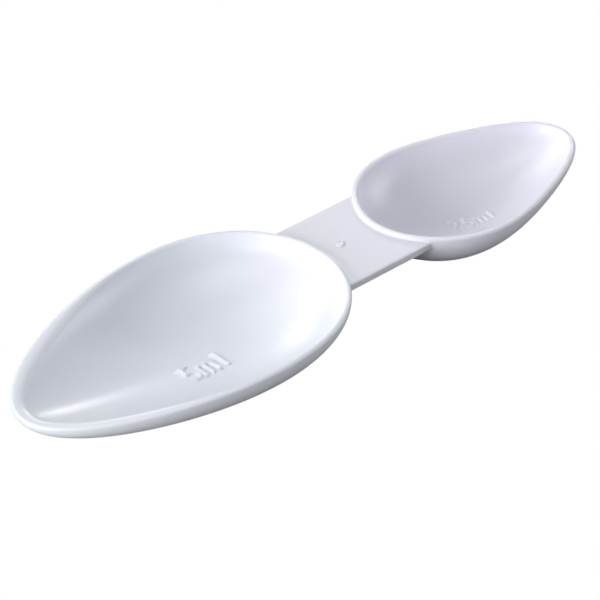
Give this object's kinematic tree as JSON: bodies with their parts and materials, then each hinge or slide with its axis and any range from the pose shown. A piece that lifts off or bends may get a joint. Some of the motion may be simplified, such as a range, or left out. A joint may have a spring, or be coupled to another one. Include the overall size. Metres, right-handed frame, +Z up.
{
  "type": "double-ended medicine spoon",
  "caption": "White moulded double-ended medicine spoon: a 5 ml bowl and a 2.5 ml bowl joined by a short flat bridge that serves as the grip.",
  "frame": {"origin": "on the surface that the spoon stands on, at the centre of its bounding box in plan", "axes": "+X along the spoon from the tip of the 5 ml bowl to the tip of the 2.5 ml bowl, +Y across it, +Z up out of the bowls"},
  "size_m": [0.098, 0.032, 0.0084],
  "materials": {
    "white_plastic": "semi-gloss injection-moulded polypropylene, white with a faint blue-grey cast"
  },
  "bodies": {
    "root": {"large_bowl": "white_plastic", "bridge": "white_plastic", "small_bowl": "white_plastic"}
  },
  "joints": []
}
